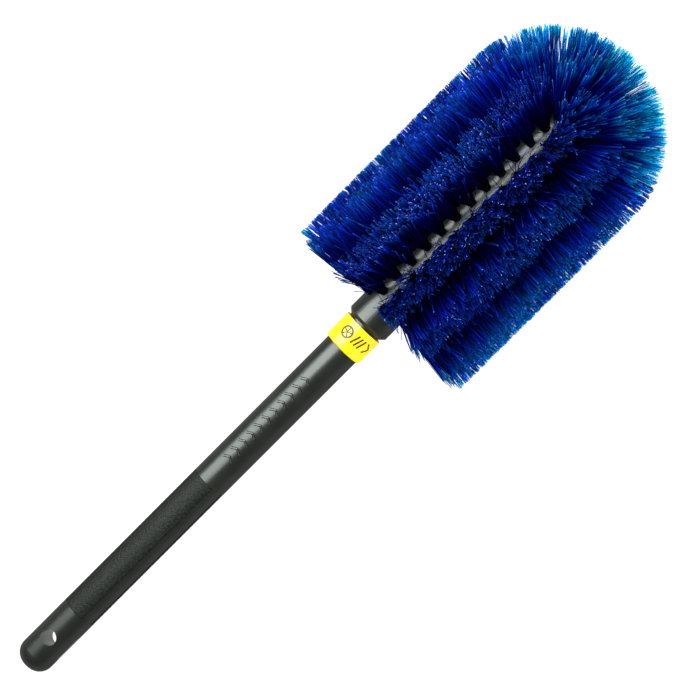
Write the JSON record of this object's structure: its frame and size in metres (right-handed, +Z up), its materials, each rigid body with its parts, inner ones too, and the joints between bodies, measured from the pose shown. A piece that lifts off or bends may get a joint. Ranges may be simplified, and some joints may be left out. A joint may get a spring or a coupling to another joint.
{
  "type": "wheel brush",
  "caption": "Hand brush for washing vehicle wheels: a slim black handle with a hanging hole and yellow band, and a domed head of soft blue bristle tufts on a flexible core.",
  "frame": {"origin": "on the flat surface that the brush lies on, in the middle of its footprint", "axes": "+X along the brush's length towards its head, +Z up from the surface; the brush's own axis rises 10.4 degrees towards +X"},
  "size_m": [0.451, 0.1166, 0.1388],
  "materials": {
    "handle_plastic": "satin moulded black, with fine texture on the grip panels",
    "band_plastic": null,
    "core_rubber": "smooth satin black elastomer",
    "bristles": "soft translucent blue nylon filaments",
    "steel": "plain drawn steel"
  },
  "bodies": {
    "handle": {"handle": "handle_plastic", "band": "band_plastic", "retaining_pin": "steel"},
    "head": {"brush_core": "core_rubber", "tuft_row_01": "bristles", "tuft_row_02": "bristles", "tuft_row_03": "bristles", "tuft_row_04": "bristles", "tuft_row_05": "bristles", "tuft_row_06": "bristles", "tuft_row_07": "bristles", "tuft_row_08": "bristles", "tuft_row_09": "bristles", "tuft_row_10": "bristles", "tuft_row_11": "bristles", "tuft_row_12": "bristles", "dome_tufts_01": "bristles", "dome_tufts_02": "bristles", "dome_tufts_03": "bristles", "tip_tuft": "bristles", "anchor_row_01": "steel", "anchor_row_02": "steel", "anchor_row_03": "steel", "anchor_row_04": "steel", "anchor_row_05": "steel", "anchor_row_06": "steel", "anchor_row_07": "steel", "anchor_row_08": "steel", "anchor_row_09": "steel", "anchor_row_10": "steel", "anchor_row_11": "steel", "anchor_row_12": "steel", "dome_anchors": "steel"}
  },
  "joints": [
    {"name": "core_bend", "type": "hinge", "parent": "handle", "child": "head", "pos_m": [0.03655, 0, 0.05678], "axis": [-0.181, 0, 0.9835], "range_deg": [-25, 25], "stiffness_Nm_per_rad": 20, "deforming": ["brush_core"]}
  ]
}
